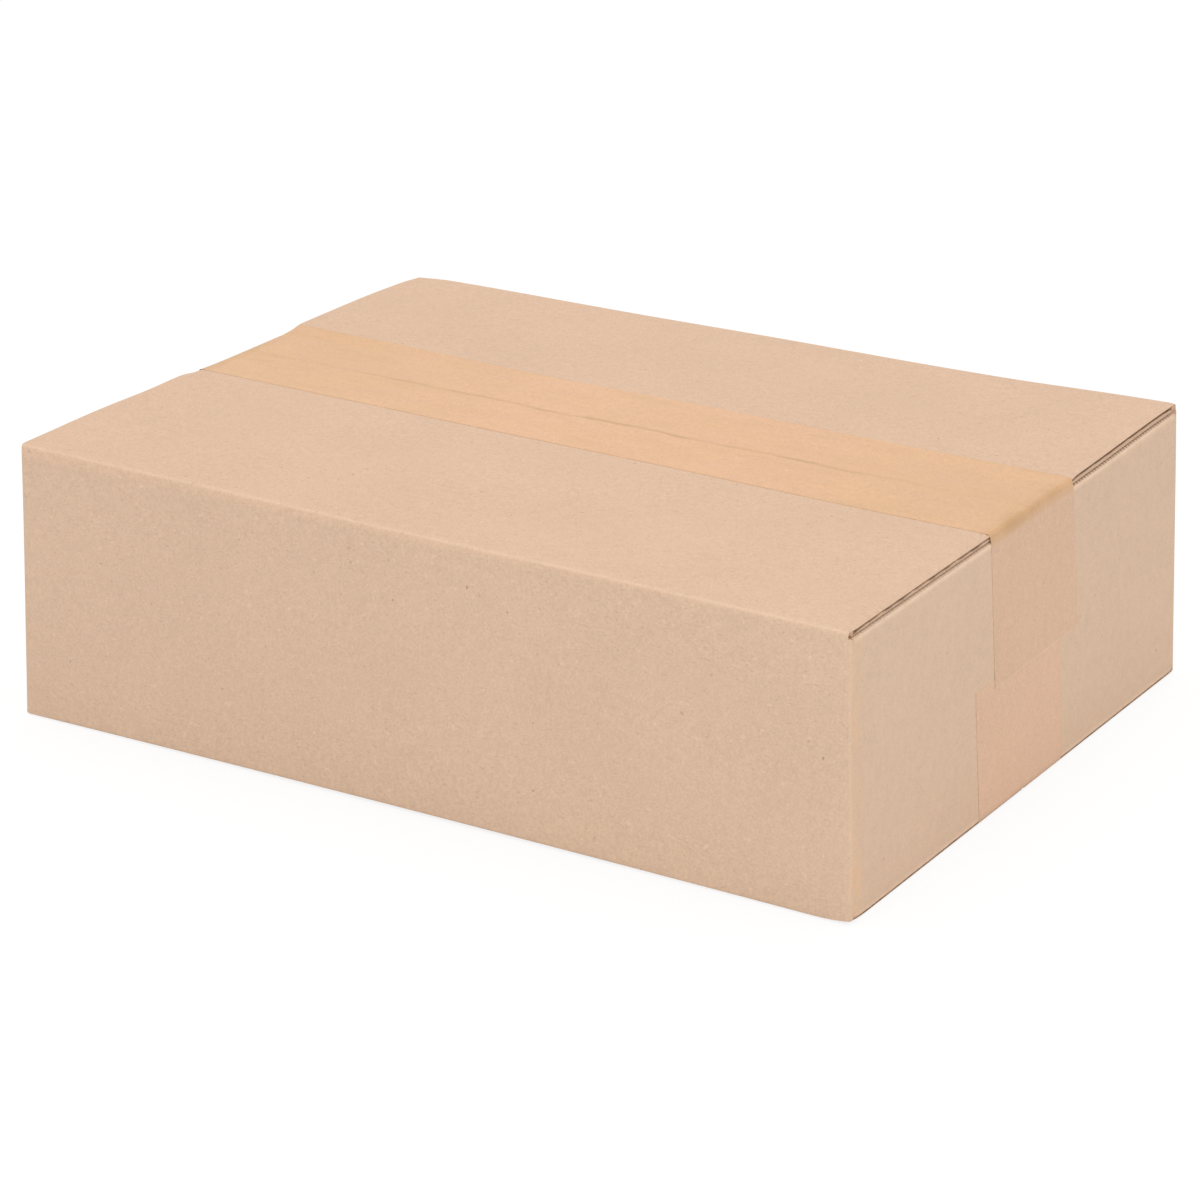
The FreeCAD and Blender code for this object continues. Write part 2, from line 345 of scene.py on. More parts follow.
def folded_sheet(form, columns, rows):
    """Outer face, core line and outward normals of the folded blank on a grid of rows and columns.

    A point climbs the wall at its column, turns through the row's angle round the crease radius
    and runs inward by the row's share of the flap's length. The core turns on a circle, and the
    outer face on the square roots of sine and cosine, as a scored fold is squarer outside."""
    x, y, nx, ny, fx, fy, kind = columns.T
    side, angle, wall, flap = (rows[:, k][:, None] for k in range(4))
    high = crease_heights(form, kind)
    low = form.height - high
    reach = y + fy * form.crease
    to_seam = [np.abs(seam_line(form, x, top) - fy * form.seam_gap / 2 - reach)
               for top in (False, True)]
    long_flap = np.where(side > 0, to_seam[1], to_seam[0])
    flap_length = np.where(kind == MAJOR, long_flap, form.minor_flap - form.crease)
    turned = [(np.cos(angle), np.sin(angle)),
              (np.sqrt(np.clip(np.cos(angle), 0.0, 1.0)), np.sqrt(np.sin(angle)))]
    core, outer = (np.stack([
        x + fx * (form.crease * (1.0 - across) + flap * flap_length),
        y + fy * (form.crease * (1.0 - across) + flap * flap_length),
        low + (high - low) * wall + side * form.crease * up], axis=-1) for across, up in turned)
    normals = np.stack([
        nx * np.cos(angle) * np.ones_like(side),
        ny * np.cos(angle) * np.ones_like(side),
        side * np.sin(angle) * np.ones_like(x)], axis=-1)
    return outer, core, normals


def press_ends(form, points, kind):
    """Lower the outer face of the top flaps' cut ends, under the tape and along the front flap's
    near end: a drop that grows with the square of the way to the cut end."""
    x, y, z = points[..., 0], points[..., 1], points[..., 2]
    span = 0.0016
    toward = np.clip((np.abs(x) - (form.length / 2 - form.end_inset - span)) / span, 0.0, 1.0)
    past_front_edge = ease(*TAPE_FRONT_EDGE, y)
    under_tape = past_front_edge * (1.0 - ease(*TAPE_REAR_EDGE, y))
    front = ease(0.0, 0.06, x) * (1.0 - past_front_edge) * ease(-0.0948, -0.092, y)
    top = (z > form.height / 2) & (kind == MAJOR)[None, :]
    drop = form.end_crush * under_tape + form.front_crush * front
    points[..., 2] -= drop * top * toward ** 2


def quads(a, b, c, d):
    """Stack four index arrays as faces."""
    return np.stack([a.ravel(), b.ravel(), c.ravel(), d.ravel()], axis=1)


def cells(grid):
    """Faces of a grid of point numbers."""
    return quads(grid[:-1, :-1], grid[1:, :-1], grid[1:, 1:], grid[:-1, 1:])


def flute_channel(form, outer, inner, inward, open_share, opening, swing):
    """Open flute along a cut end: four extra points a row between the outer and the inner face.

    The channel between the liners goes in by the flute depth. It is closed on the fold, less deep
    towards both ends, and its mouth wavers as a worn edge does."""
    step = np.arange(len(outer))
    open_share = open_share[:, None]
    across = inner - outer
    thick = np.linalg.norm(across, axis=1, keepdims=True)
    across = across / thick
    waver = (0.6 * np.sin(step * 1.9 + 40.0 * opening / form.board)
             + 0.4 * np.sin(step * 0.73 + 1.0))[:, None]
    start = form.liner * (0.9 + 0.3 * swing * waver) * np.minimum(1.0, thick / form.board)
    mouth = np.minimum(opening * (1.0 + swing * waver), thick - 1.5 * start)
    depth = np.minimum(form.flute_depth, 2.2 * mouth) * open_share
    lip = np.minimum(0.00008, 0.25 * mouth)
    closed = open_share == 0.0
    upper = np.where(closed, 0.0, start)
    lower = np.where(closed, thick, start + mouth)
    lip = np.where(closed, 0.0, lip)
    return np.stack([
        outer + across * upper,
        outer + across * (upper + lip) + inward * depth,
        outer + across * (lower - lip) + inward * depth,
        outer + across * lower], axis=1)


def flute_opening(form, column, top):
    """How far the flute stands open at a cut end and how much that wavers: even on the rear top
    flap, crushed in waves on the front one, pressed nearly shut elsewhere."""
    if not top or column[6] != MAJOR:
        return form.flute_low, 0.3
    return (form.flute_front, 0.55) if column[5] > 0 else (form.flute_rear, 0.15)


def build_blank(form):
    """The whole blank as one closed skin: outer face, inner face and cut edges between them."""
    columns = wall_columns(form)
    rows = fold_rows(form)
    points, core, normals = folded_sheet(form, columns, rows)
    press_ends(form, points, columns[:, 6])
    outer = settle(form, points).reshape(-1, 3)
    inner = settle(form, core - normals * form.board).reshape(-1, 3)
    row_count, column_count = points.shape[:2]
    kind = columns[:, 6]
    on_wall = rows[:, 1] == 0.0
    wall_cell = (on_wall[:-1] & on_wall[1:])[:, None]
    same = (kind[:-1] == kind[1:]) & (kind[:-1] >= MINOR)
    kept = wall_cell | same[None, :]
    grid = np.arange(row_count * column_count).reshape(row_count, column_count)
    a, b, c, d = corners = grid[:-1, :-1], grid[:-1, 1:], grid[1:, 1:], grid[1:, :-1]
    e, f, g, h = (corner + grid.size for corner in corners)
    padded = np.pad(kept, 1)
    under = kept & ~padded[:-2, 1:-1]
    over = kept & ~padded[2:, 1:-1]
    plain_left = kept & ~padded[1:-1, :-2] & wall_cell
    plain_right = kept & ~padded[1:-1, 2:] & wall_cell
    liners = np.vstack([quads(a[kept], b[kept], c[kept], d[kept]),
                        quads(h[kept], g[kept], f[kept], e[kept])])
    edges = [quads(a[under], e[under], f[under], b[under]),
             quads(c[over], g[over], h[over], d[over]),
             quads(a[plain_left], d[plain_left], h[plain_left], e[plain_left]),
             quads(f[plain_right], g[plain_right], c[plain_right], b[plain_right])]
    extra = []
    deep = [np.zeros(2 * grid.size)]
    open_share = ease(0.0, 0.05, rows[:, 3]) * ease(0.0, 0.03, 1.0 - rows[:, 3])
    total = 2 * grid.size
    wall_index = np.flatnonzero(on_wall)
    runs = ((0, wall_index[0], False), (wall_index[-1], row_count - 1, True))
    after = np.append(same, False)
    before = np.insert(same, 0, False)
    for column in np.flatnonzero(after != before):
        way = 1 if after[column] else -1
        for first, last, top in runs:
            span = np.arange(first, last + 1)
            o = outer[grid[span, column]]
            i = inner[grid[span, column]]
            toward = outer[grid[span, column + way]] - o
            toward = toward / np.linalg.norm(toward, axis=1, keepdims=True)
            channel = flute_channel(form, o, i, toward, open_share[span],
                                    *flute_opening(form, columns[column], top))
            new = total + np.arange(len(span) * 4).reshape(len(span), 4)
            total += new.size
            extra.append(channel.reshape(-1, 3))
            # Bottom points of each open channel take the flute's painted shade
            deep.append(np.outer(open_share[span] > 0.0, (0.0, 1.0, 1.0, 0.0)).ravel())
            strip = np.column_stack([grid[span, column], new, grid[span, column] + grid.size])
            edges.append(cells(strip[:, ::way]))
    vertices = np.vstack([outer, inner] + extra)
    edges = np.vstack(edges)
    faces = np.vstack([liners, edges])
    finish = np.repeat(np.array([0, 1], dtype=np.int32), [len(liners), len(edges)])
    spare = total - 2 * grid.size
    values = {"deep": np.concatenate(deep)}
    for key, value in fold_marks(form, columns, rows).items():
        values[key] = np.concatenate([value.ravel(), value.ravel(), np.zeros(spare)])
    sheet = blank_layout(form, columns, rows).reshape(-1, 2)
    sheet = np.vstack([sheet, sheet, np.zeros((spare, 2))])
    return vertices, faces, finish, sheet, values


def fold_marks(form, columns, rows):
    """Share of paler liner on the folds, stretched liner and a painted highlight, a bell over the
    angle of the turn, and of painted shade, in ticks like crushed liner, where the short flaps
    turn under the long ones."""
    kind = columns[:, 6]
    on_wall = (rows[:, 1] == 0.0)[:, None]
    # Long flaps' folds: a narrow painted highlight high on the turn; short flaps' folds: stretched
    # liner and painted highlight
    strength = np.where(kind == MAJOR, 0.32, 1.0)[None, :]
    middle = np.where(kind == MAJOR, 1.05, 0.38)[None, :]
    on_turn = 1.0 - ease(0.0, 0.01, rows[:, 3])[:, None]
    level = strength * on_turn * bell(rows[:, 1][:, None] - middle, 0.34)
    flat_normal = np.maximum(np.abs(columns[:, 2]), np.abs(columns[:, 3]))
    # Upright corners: a faint pale band, partly stretched liner, partly painted highlight
    upright = 0.06 * (1.0 - ease(0.92, 0.999, flat_normal))[None, :]
    # Top of the short flaps' folds, right under the long flaps: painted shade in that crevice,
    # broken at the flutes' pitch
    crushed = ease(0.60, 0.90, rows[:, 1])[:, None] * on_turn * (kind == MINOR)[None, :]
    return {"wear_and_highlight": np.maximum(level, upright * on_wall), "crushed": crushed}


def blank_layout(form, columns, rows):
    """Flat layout of the blank in metres: the way round the walls, counted from the fold between
    the front and the near end panel, and the way up across folds."""
    step = np.linalg.norm(np.diff(columns[:, :2], axis=0), axis=1)
    around = np.concatenate([[0.0], np.cumsum(step)])
    around -= around[np.argmax(columns[:, 0] - columns[:, 1])]
    high = crease_heights(form, columns[:, 6])
    up = (rows[:, 2] - 0.5)[:, None] * (2 * high - form.height)
    beyond = form.crease * rows[:, 1] + rows[:, 3] * form.minor_flap
    up = up + (rows[:, 0] * beyond)[:, None]
    return np.stack([np.broadcast_to(around, up.shape), up], axis=-1)


def new_object(name, data):
    """A new object in the scene."""
    thing = bpy.data.objects.new(name, data)
    bpy.context.collection.objects.link(thing)
    return thing


def aimed(name, data, place, target):
    """A lamp or camera at a place, aimed at a target."""
    thing = new_object(name, data)
    thing.location = place
    thing.rotation_euler = (Vector(target) - Vector(place)).to_track_quat("-Z", "Y").to_euler()
    return thing


def make_object(name, vertices, faces, finish, materials, sheet, values):
    """Mesh object at the origin from arrays, with a layout map and named point values."""
    mesh = bpy.data.meshes.new(name)
    mesh.from_pydata(vertices, [], faces.tolist())
    for material in materials:
        mesh.materials.append(material)
    mesh.polygons.foreach_set("material_index", finish)
    mesh.polygons.foreach_set("use_smooth", np.ones(len(faces), dtype=bool))
    loops = np.empty(len(mesh.loops), dtype=np.int32)
    mesh.loops.foreach_get("vertex_index", loops)
    layout = mesh.uv_layers.new(name="sheet")
    layout.data.foreach_set("uv", sheet[loops].astype(np.float32).ravel())
    for key, value in values.items():
        layer = mesh.attributes.new(key, "FLOAT", "POINT")
        layer.data.foreach_set("value", value.astype(np.float32))
    work = bmesh.new()
    work.from_mesh(mesh)
    bmesh.ops.remove_doubles(work, verts=work.verts, dist=1e-7)
    loose = [v for v in work.verts if not v.link_faces]
    bmesh.ops.delete(work, geom=loose, context="VERTS")
    work.to_mesh(mesh)
    work.free()
    mesh.set_sharp_from_angle(angle=math.radians(38.0))
    mesh.update()
    return new_object(name, mesh)


def tape_half(form, tape, cut, lapped):
    """Inner line of half a tape from the middle of the top to one cut end, as length and height.

    It runs out over the flaps, turns round the bend radius onto the flaps' cut end, leans out to
    touch the end panel's fold, follows it and goes down the panel, where a lapped tape steps out
    by its own film. It touches the fold where the slope from the flap's tip is greatest."""
    hx, r = form.length / 2, form.crease
    fold_z = form.height - form.board - form.flap_gap - r
    flap_x = hx - form.end_inset
    turn = np.linspace(0.0, 1.5, 31)
    fold_x = hx - r * (1.0 - np.sqrt(np.cos(turn)))
    fold_h = fold_z + r * np.sqrt(np.sin(turn))
    slope = (fold_x - flap_x) / (form.height - 0.6 * tape.bend - fold_h)
    touch = int(np.argmax(slope))
    angle = np.linspace(math.pi / 2, math.atan(slope[touch]), 9)
    bend_x = flap_x - tape.bend + 0.0002 + tape.bend * np.cos(angle)
    bend_z = form.height + tape.bend * (np.sin(angle) - 1.0)
    line = [(0.0, form.height)] + list(zip(bend_x, bend_z))
    line += list(zip(fold_x[touch::-2], fold_h[touch::-2]))
    if touch % 2:
        line.append((hx, fold_z))
    if lapped:
        line += [(hx, tape.lap_start), (hx + tape.film + tape.glue, tape.lap_seated)]
    line += [(line[-1][0], cut + 0.0005), (line[-1][0], cut)]
    return np.array(line)


def tape_route(form, tape, near_cut, far_cut, lapped):
    """Inner line of the tape from its far to its near cut end, evenly filled in, with normals."""
    near = tape_half(form, tape, near_cut, lapped)
    far = tape_half(form, tape, far_cut, False)[:0:-1] * (-1.0, 1.0)
    line = np.vstack([far, near])
    along = np.concatenate([[0.0], np.cumsum(np.hypot(*np.diff(line, axis=0).T))])
    even = np.arange(0.0, along[-1], tape.row_step)
    gap = np.abs(even[:, None] - along[None, :]).min(axis=1)
    stations = np.sort(np.concatenate([even[gap > 0.3 * tape.row_step], along]))
    x = np.interp(stations, along, line[:, 0])
    z = np.interp(stations, along, line[:, 1])
    tangent = np.gradient(np.stack([x, z], axis=1), stations, axis=0)
    tangent /= np.linalg.norm(tangent, axis=1, keepdims=True)
    return stations, x, z, np.stack([-tangent[:, 1], tangent[:, 0]], axis=1)


def tape_centre(form, x, z, near_leg, far_leg):
    """Sideways place of the tape: straight along the top and leaning down each leg."""
    fold_z = form.height - form.board - form.flap_gap - form.crease
    share = np.clip(0.5 + x / form.length, 0.0, 1.0)
    centre = far_leg[0] + (near_leg[0] - far_leg[0]) * share
    for side, leg in ((1.0, near_leg), (-1.0, far_leg)):
        on_leg = (side * x > 0.4 * form.length) & (z < fold_z)
        down = (fold_z - z) / (fold_z - leg[2])
        centre = np.where(on_leg, leg[0] + (leg[1] - leg[0]) * down, centre)
    return centre


def build_tape(form, tape, near_leg, far_leg, lapped, upside):
    """Strip of film on a grid along and across the tape, closed by its inner face and edges.

    The last row of each leg is slanted as measured and cut into teeth, every second column
    back by the tooth depth."""
    along, x, z, normal = tape_route(form, tape, near_leg[2], far_leg[2], lapped)
    count = 2 * round(tape.width / tape.tooth_pitch)
    across = np.linspace(-0.5, 0.5, count + 1)
    centre = tape_centre(form, x, z, near_leg, far_leg)
    y = centre[:, None] + across * tape.width
    px = np.broadcast_to(x[:, None], y.shape)
    pz = np.broadcast_to(z[:, None], y.shape).copy()
    tooth = tape.tooth_depth * (np.arange(count + 1) % 2)
    pz[-2:] += near_leg[3] * across
    pz[:2] += far_leg[3] * across
    pz[-1] += tooth
    pz[0] += tooth
    out = np.stack([normal[:, 0], np.zeros(len(x)), normal[:, 1]], axis=-1)[:, None, :]
    seat = np.stack([px, y, pz], axis=-1) + out * tape.glue
    face = seat + out * tape.film
    if upside:
        seat[..., 2] = form.height - seat[..., 2]
        face[..., 2] = form.height - face[..., 2]
    outer = settle(form, face)
    inner = settle(form, seat)
    rows, columns = outer.shape[:2]
    grid = np.arange(rows * columns).reshape(rows, columns)
    ring = np.concatenate([grid[0, :], grid[1:, -1], grid[-1, -2::-1], grid[-2:0:-1, 0]])
    ring_next = np.roll(ring, -1)
    faces = np.vstack([cells(grid), cells(grid + grid.size)[:, ::-1],
                       quads(ring, ring_next, ring_next + grid.size, ring + grid.size)])
    if upside:
        faces = faces[:, ::-1]
    vertices = np.vstack([outer.reshape(-1, 3), inner.reshape(-1, 3)])
    sheet = np.stack([np.broadcast_to(along[:, None], y.shape),
                      np.broadcast_to(across * tape.width, y.shape)], axis=-1).reshape(-1, 2)
    values = tape_marks(form, x, z, across)
    return (vertices, faces, np.vstack([sheet, sheet]),
            {key: np.tile(value.ravel(), 2) for key, value in values.items()})


def tape_marks(form, x, z, across):
    """Shares along and across a tape: over the gap at the fold, on a leg, at a side, at a cut."""
    out = np.abs(x) - (form.length / 2 - form.end_inset)
    down = form.height - z
    # Painted shade of the gap under the film at the fold
    gap_shade_bridge = ease(-0.0022, -0.0004, out) * (1.0 - ease(0.0008, 0.0042, down))
    leg = ease(0.0005, 0.0040, down)
    cut = np.zeros_like(x)
    cut[[0, -1]] = 1.0
    marks = {"gap_shade_bridge": gap_shade_bridge[:, None], "leg": leg[:, None], "rim": 2.0 * np.abs(across),
             "cut": cut[:, None]}
    return {key: value * np.ones((len(x), len(across))) for key, value in marks.items()}


class Nodes:
    """The nodes of one material or world."""

    def __init__(self, owner):
        self.owner = owner
        owner.use_nodes = True
        self.tree = owner.node_tree
        self.tree.nodes.clear()

    def add(self, kind, inputs=None, **settings):
        """One node, with its settings and its inputs as values or as links."""
        node = self.tree.nodes.new(kind)
        for key, value in settings.items():
            setattr(node, key, value)
        for key, value in (inputs or {}).items():
            if isinstance(value, bpy.types.NodeSocket):
                self.tree.links.new(value, node.inputs[key])
            else:
                node.inputs[key].default_value = value
        return node

    def axes(self, vector):
        """The X, Y and Z of a vector, by name."""
        return self.add("ShaderNodeSeparateXYZ", {"Vector": vector}).outputs

    def scaled(self, tint, scale):
        """A colour times a number."""
        node = self.add("ShaderNodeVectorMath", {0: tint, "Scale": scale}, operation="SCALE")
        return node.outputs[0]

    def math(self, operation, first, second=0.0, third=0.0):
        """A Math node's result."""
        node = self.add("ShaderNodeMath", {0: first, 1: second, 2: third}, operation=operation)
        return node.outputs[0]

    def product(self, *values):
        """Several values multiplied together."""
        result = values[0]
        for value in values[1:]:
            result = self.math("MULTIPLY", result, value)
        return result

    def span(self, value, low, high, to_low=0.0, to_high=1.0):
        """A value mapped smoothly from one range to another."""
        node = self.add("ShaderNodeMapRange", {"Value": value, "From Min": low, "From Max": high,
                                               "To Min": to_low, "To Max": to_high},
                        interpolation_type="SMOOTHSTEP")
        return node.outputs["Result"]

    def fade(self, value, low, high):
        """One at the low end of a range, falling smoothly to nought at the high end."""
        return self.span(value, low, high, 1.0, 0.0)

    def mix(self, factor, first, second):
        """Two colours mixed by a factor."""
        node = self.add("ShaderNodeMix", {0: factor, 6: first, 7: second}, data_type="RGBA")
        return node.outputs[2]

    def noise(self, vector, scale, detail=2.0, roughness=0.5):
        """Noise value on the given coordinates."""
        node = self.add("ShaderNodeTexNoise", {"Vector": vector, "Scale": scale, "Detail": detail,
                                               "Roughness": roughness})
        return node.outputs["Fac"]

    def stretched(self, vector, scale):
        """Coordinates scaled differently on each axis."""
        return self.add("ShaderNodeMapping", {"Vector": vector, "Scale": scale}).outputs["Vector"]

    def attribute(self, name):
        """A named point value."""
        return self.add("ShaderNodeAttribute", attribute_name=name).outputs["Fac"]

    def surface(self, shader):
        """Connect the shader to the output and give back the material."""
        self.add("ShaderNodeOutputMaterial", {"Surface": shader.outputs[0]})
        return self.owner

    def finished(self, body, roughness, gloss, height, strength, reach):
        """The material with a body colour, a roughness, a gloss and relief from a height."""
        bump = self.add("ShaderNodeBump", {"Height": height, "Strength": strength,
                                           "Distance": reach})
        return self.surface(self.add("ShaderNodeBsdfPrincipled", {
            "Base Color": body, "Roughness": roughness, "Specular IOR Level": gloss,
            "Normal": bump.outputs["Normal"]}))


def kraft_pattern(nodes, place, base, speck):
    """Mottled kraft colour and a height for its bump, on Object coordinates.

    Cloudy tone at three sizes, short pale and dark fibres, and sparse pale flecks and dark specks,
    fibres and specks fainter on the flaps."""
    cloud = nodes.noise(place, 28.0, 3.0, 0.55)
    mottle = nodes.noise(place, 420.0, 3.0, 0.65)
    grain = nodes.noise(place, 1500.0, 2.0, 0.7)
    tone = nodes.math("ADD", nodes.span(cloud, 0.3, 0.7, 0.985, 1.015),
                      nodes.span(mottle, 0.3, 0.7, -0.024, 0.024))
    tone = nodes.math("ADD", tone, nodes.span(grain, 0.25, 0.75, -0.067, 0.067))
    tint = nodes.scaled(base, tone)
    calm = nodes.span(nodes.axes(place)["Z"], *FLAPS_BEGIN, 1.0, 0.6)
    dark_fibre = nodes.noise(nodes.stretched(place, (1.0, 1.0, 3.4)), 800.0, 1.0, 0.4)
    dark_fibre = nodes.span(dark_fibre, 0.64, 0.76, 0.0, 0.24)
    tint = nodes.mix(nodes.product(calm, dark_fibre), tint, speck)
    pale_fibre = nodes.noise(nodes.stretched(place, (0.55, 1.0, 0.8)), 820.0, 2.0, 0.6)
    pale_fibre = nodes.span(pale_fibre, 0.62, 0.76, 0.0, 0.38)
    pale = nodes.scaled(base, 1.28)
    tint = nodes.mix(nodes.product(calm, pale_fibre), tint, pale)
    stray = nodes.add("ShaderNodeTexNoise", {"Vector": place, "Scale": 1100.0, "Detail": 2.0})
    shift = nodes.add("ShaderNodeVectorMath", {
        0: stray.outputs["Color"], 1: (0.0012,) * 3, 2: place}, operation="MULTIPLY_ADD")
    cells = nodes.add("ShaderNodeTexVoronoi", {"Vector": shift.outputs[0], "Scale": 260.0})
    chance = nodes.add("ShaderNodeSeparateColor", {"Color": cells.outputs["Color"]})
    chosen = nodes.math("GREATER_THAN", chance.outputs[0], 0.48)
    size = nodes.span(chance.outputs[1], 0.0, 1.0, 0.06, 0.14)
    dot = nodes.fade(nodes.math("DIVIDE", cells.outputs["Distance"], size), 0.6, 1.1)
    depth = nodes.math("MULTIPLY_ADD", nodes.math("POWER", chance.outputs[2], 2.2), 0.62, 0.08)
    tint = nodes.mix(nodes.product(chosen, dot, depth, calm), tint, speck)
    fleck = nodes.math("LESS_THAN", chance.outputs[0], 0.16)
    tint = nodes.mix(nodes.product(fleck, dot, 0.45), tint, pale)
    return tint, nodes.math("MULTIPLY_ADD", grain, 0.6, nodes.math("MULTIPLY", mottle, 0.4))


def kraft_material(finish):
    """Outer and inner liner: matt kraft paper, set a little darker on the walls as painted shade,
    paler on the folds from stretched liner and a painted highlight, painted shade in even ticks
    where the short flaps turn under the long ones, and rubbed warm along the near front corner,
    most of all low down, with a painted highlight along the whole corner."""
    nodes = Nodes(bpy.data.materials.new("kraft_liner"))
    coordinates = nodes.add("ShaderNodeTexCoord")
    place = coordinates.outputs["Object"]
    axes = nodes.axes(place)
    around = nodes.axes(coordinates.outputs["UV"])["X"]
    upper = nodes.span(axes["Z"], *FLAPS_BEGIN)
    # Walls below the flaps take the darker tint, a painted shade on the upright faces
    board = nodes.mix(upper, finish.kraft_side_painted_shade, finish.kraft)
    body, height = kraft_pattern(nodes, place, board, finish.kraft_speck_and_shade)
    ragged = nodes.noise(place, 260.0, 2.0, 0.6)
    # Paler folds: stretched liner and a painted highlight
    worn = nodes.product(nodes.attribute("wear_and_highlight"), nodes.span(ragged, 0.2, 0.7, 0.58, 0.95))
    body = nodes.mix(worn, body, finish.kraft_pale_and_highlight)
    # Painted shade in the crevice under the long flaps, in ticks at the flutes' pitch, fainter on
    # the front half
    ticks = nodes.math("SINE", nodes.math("MULTIPLY", axes["Y"], math.tau / FOLD_TICK))
    ticks = nodes.span(ticks, -0.3, 0.5, 0.12, 0.80)
    ticked_shade = nodes.product(nodes.attribute("crushed"), ticks,
                           nodes.span(axes["Y"], 0.0, 0.02, 0.35, 1.0))
    body = nodes.mix(ticked_shade, body, finish.kraft_speck_and_shade)
    blotch = nodes.math("ADD", axes["Z"], nodes.span(ragged, 0.3, 0.7, -0.004, 0.004))
    low = nodes.product(nodes.span(blotch, 0.0070, 0.0090), nodes.fade(blotch, 0.0140, 0.0165))
    # A rubbed blotch low down, and along the whole upright corner a fainter painted highlight
    rubbed = nodes.math("MULTIPLY_ADD", low, 0.38, nodes.span(ragged, 0.35, 0.65, 0.10, 0.28))
    rubbed = nodes.product(rubbed, nodes.span(around, -0.0003, 0.0010),
                           nodes.fade(around, 0.0040, 0.0065), nodes.fade(upper, 0.0, 1.0))
    body = nodes.mix(rubbed, body, finish.kraft_scuff_and_highlight)
    return nodes.finished(body, 0.92, 0.18, height, 0.25, 0.00012)


def cut_edge_material(finish):
    """Cut edge of the board: rough brown paper, with painted shade deep in a flute."""
    nodes = Nodes(bpy.data.materials.new("cut_board_edge"))
    place = nodes.add("ShaderNodeTexCoord").outputs["Object"]
    fibres = nodes.noise(place, 1400.0, 3.0, 0.6)
    body = nodes.mix(nodes.span(fibres, 0.3, 0.7), finish.raw_edge, finish.kraft)
    # Painted shade deep in the flute
    body = nodes.mix(nodes.span(nodes.attribute("deep"), 0.0, 0.6), body, finish.flute)
    return nodes.finished(body, 0.95, 0.1, fibres, 0.5, 0.0002)


def tape_material(finish, name, leg, seam):
    """Tan film over kraft: yellower patches and streaks along the tape, painted shade over the gap
    at the fold and over the seam, a tint of its own on the legs as painted light, and pale cut
    ends."""
    nodes = Nodes(bpy.data.materials.new(name))
    coordinates = nodes.add("ShaderNodeTexCoord")
    place = coordinates.outputs["Object"]
    sheet = coordinates.outputs["UV"]
    axes = nodes.axes(place)
    out = nodes.math("ABSOLUTE", axes["X"])
    ends = nodes.span(out, 0.030, 0.110)
    film = nodes.mix(ends, finish.film, finish.film_end)
    patches = nodes.noise(nodes.stretched(sheet, (35.0, 75.0, 1.0)), 1.0, 3.0, 0.6)
    film = nodes.mix(nodes.span(patches, 0.42, 0.60, 0.0, 0.50), film, finish.film_patch)
    # The legs take their own tint, painted light on the end panels
    leg_share = nodes.attribute("leg")
    shade = nodes.mix(leg_share, film, leg)
    body, height = kraft_pattern(nodes, place, shade, finish.film_dark_and_gap_shade)
    streaks = nodes.noise(nodes.stretched(sheet, (30.0, 130.0, 1.0)), 1.0, 3.0, 0.6)
    streaked = nodes.product(nodes.span(streaks, 0.45, 0.75, 0.0, 0.17),
                             nodes.span(leg_share, 0.0, 1.0, 1.0, 0.3))
    body = nodes.mix(streaked, body, finish.film_dark_and_gap_shade)
    # Painted shade of the gap at the fold, patchy and fainter towards the rear
    patch = nodes.span(nodes.noise(place, 90.0), 0.35, 0.65, 0.25, 0.62)
    fading = nodes.span(axes["Y"], 0.010, 0.024, 1.0, 0.25)
    gap_shade_bridge = nodes.product(nodes.attribute("gap_shade_bridge"), patch, fading)
    body = nodes.mix(gap_shade_bridge, body, finish.film_dark_and_gap_shade)
    broken = nodes.span(nodes.noise(place, 75.0, 2.0, 0.6), 0.40, 0.60, 0.50, 1.0)
    # Painted shade of the seam gap under the film: wandering, strongest in the middle and only on
    # the top
    if seam:
        drift = nodes.math("MULTIPLY_ADD", axes["X"], seam[0], seam[1])
        wander = nodes.span(nodes.noise(place, 30.0, 3.0, 0.6), 0.3, 0.7, -0.0009, 0.0009)
        offset = nodes.math("ADD", nodes.math("SUBTRACT", axes["Y"], drift), wander)
        line = nodes.fade(nodes.math("ABSOLUTE", offset), 0.0003, 0.0012)
        along = nodes.span(out, 0.050, 0.105, 0.62, 0.10)
        up = nodes.math("GREATER_THAN", axes["Z"], seam[2])
        body = nodes.mix(nodes.product(line, along, broken, up), body, finish.film_dark_and_gap_shade)
    rim = nodes.product(nodes.span(nodes.attribute("rim"), 0.982, 1.0, 0.0, 0.20),
                        nodes.span(broken, 0.5, 1.0, 0.1, 1.0))
    body = nodes.mix(rim, body, finish.film_dark_and_gap_shade)
    cut = nodes.span(nodes.attribute("cut"), 0.2, 1.0, 0.0, 0.7)
    body = nodes.mix(cut, body, finish.film_edge)
    wrinkle = nodes.noise(nodes.stretched(sheet, (60.0, 260.0, 1.0)), 1.0, 2.0, 0.5)
    relief = nodes.math("MULTIPLY_ADD", wrinkle, 0.8, nodes.math("MULTIPLY", height, 0.2))
    return nodes.finished(body, 0.42, 0.30, relief, 0.25, 0.0002)


class CARTON_OT_blank(bpy.types.Operator):
    """Build the folded blank: walls, short flaps, long flaps and glued tab as one sheet"""
    bl_idname = "carton.blank"
    bl_label = "Folded blank"

    def execute(self, context):
        form = context.scene.carton_form
        finish = context.scene.carton_finish
        vertices, faces, index, sheet, values = build_blank(form)
        vertices[:, 2] += form.base
        materials = [kraft_material(finish), cut_edge_material(finish)]
        blank = make_object("folded_blank", vertices, faces, index, materials, sheet, values)
        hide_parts("carton")
        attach(blank, "root")
        return {"FINISHED"}


